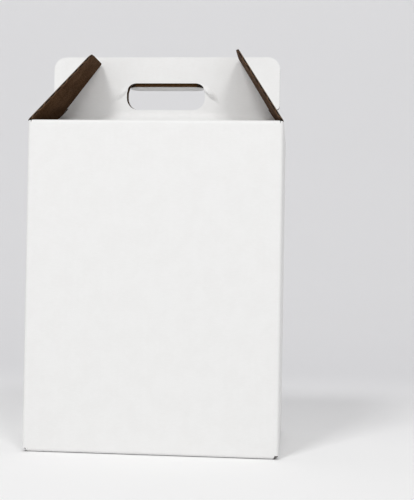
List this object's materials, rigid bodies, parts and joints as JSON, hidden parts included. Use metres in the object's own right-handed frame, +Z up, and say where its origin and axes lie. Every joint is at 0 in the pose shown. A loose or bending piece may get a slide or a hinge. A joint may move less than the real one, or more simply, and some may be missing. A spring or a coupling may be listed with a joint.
{
  "type": "six-bottle wine carrier",
  "caption": "White corrugated-board bottle carrier with a double carrying handle, slotted side flaps that lean in round it, a snap-lock bottom and a slotted bottle divider inside.",
  "frame": {"origin": "on the floor, under the middle of the carton", "axes": "+X across the carton's width to the right as seen from the front, +Y to the back, +Z up"},
  "size_m": [0.279, 0.186, 0.448],
  "materials": {
    "white_board": "matt white printed liner over brown corrugated board",
    "brown_board": "plain brown corrugated board"
  },
  "bodies": {
    "carton": {"carton": "white_board", "front_handle_panel": "white_board", "back_handle_panel": "white_board", "long_divider": "brown_board", "left_cross_divider": "brown_board", "right_cross_divider": "brown_board"},
    "left_flap": {"left_side_flap": "white_board"},
    "right_flap": {"right_side_flap": "white_board"}
  },
  "joints": [
    {"name": "left_flap_fold", "type": "hinge", "parent": "carton", "child": "left_flap", "pos_m": [-0.1395, 0, 0.362], "axis": [0, -1, 0], "range_deg": [0, 205]},
    {"name": "right_flap_fold", "type": "hinge", "parent": "carton", "child": "right_flap", "pos_m": [0.1395, 0, 0.362], "axis": [0, 1, 0], "range_deg": [0, 199]}
  ]
}
